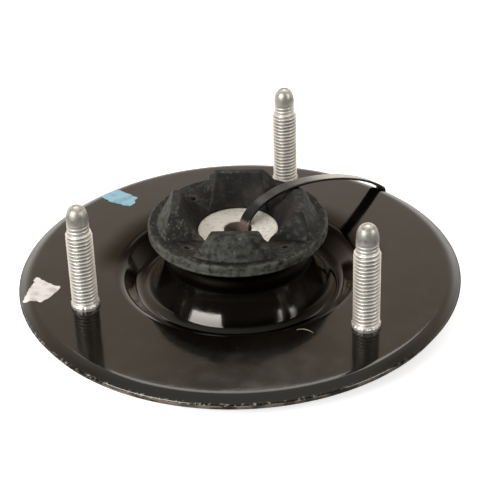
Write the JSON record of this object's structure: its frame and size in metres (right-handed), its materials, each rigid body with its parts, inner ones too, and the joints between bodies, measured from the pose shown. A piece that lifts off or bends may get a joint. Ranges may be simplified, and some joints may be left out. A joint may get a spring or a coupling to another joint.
{
  "type": "strut mount",
  "caption": "Rubber-cushioned top mount for a suspension strut: a round steel plate with a domed middle, screw studs, a flanged sleeve and a lobed cushion held by a cable tie.",
  "frame": {"origin": "centre of the bounding box at its base; the plate's axis passes through it, and the part rests there on the tie's lower run", "axes": "+Z along the plate's axis, up the studs, towards the car's strut tower; +X to the right in the picture, square to its line of sight; +Y away from the camera"},
  "size_m": [0.17, 0.17, 0.0548],
  "materials": {
    "black_coat": "gloss black coat on pressed steel",
    "zinc": "bright zinc plate",
    "rubber": "moulded black rubber with a dusty bloom",
    "bare_steel": "bare machined steel, slightly stained",
    "nylon": "satin black nylon"
  },
  "bodies": {
    "root": {"mounting_plate": "black_coat", "stud_left": "zinc", "stud_right": "zinc", "stud_back": "zinc", "upper_cushion": "rubber", "flanged_sleeve": "bare_steel", "lower_cushion": "rubber", "lower_washer": "bare_steel", "cable_tie": "nylon"}
  },
  "joints": []
}
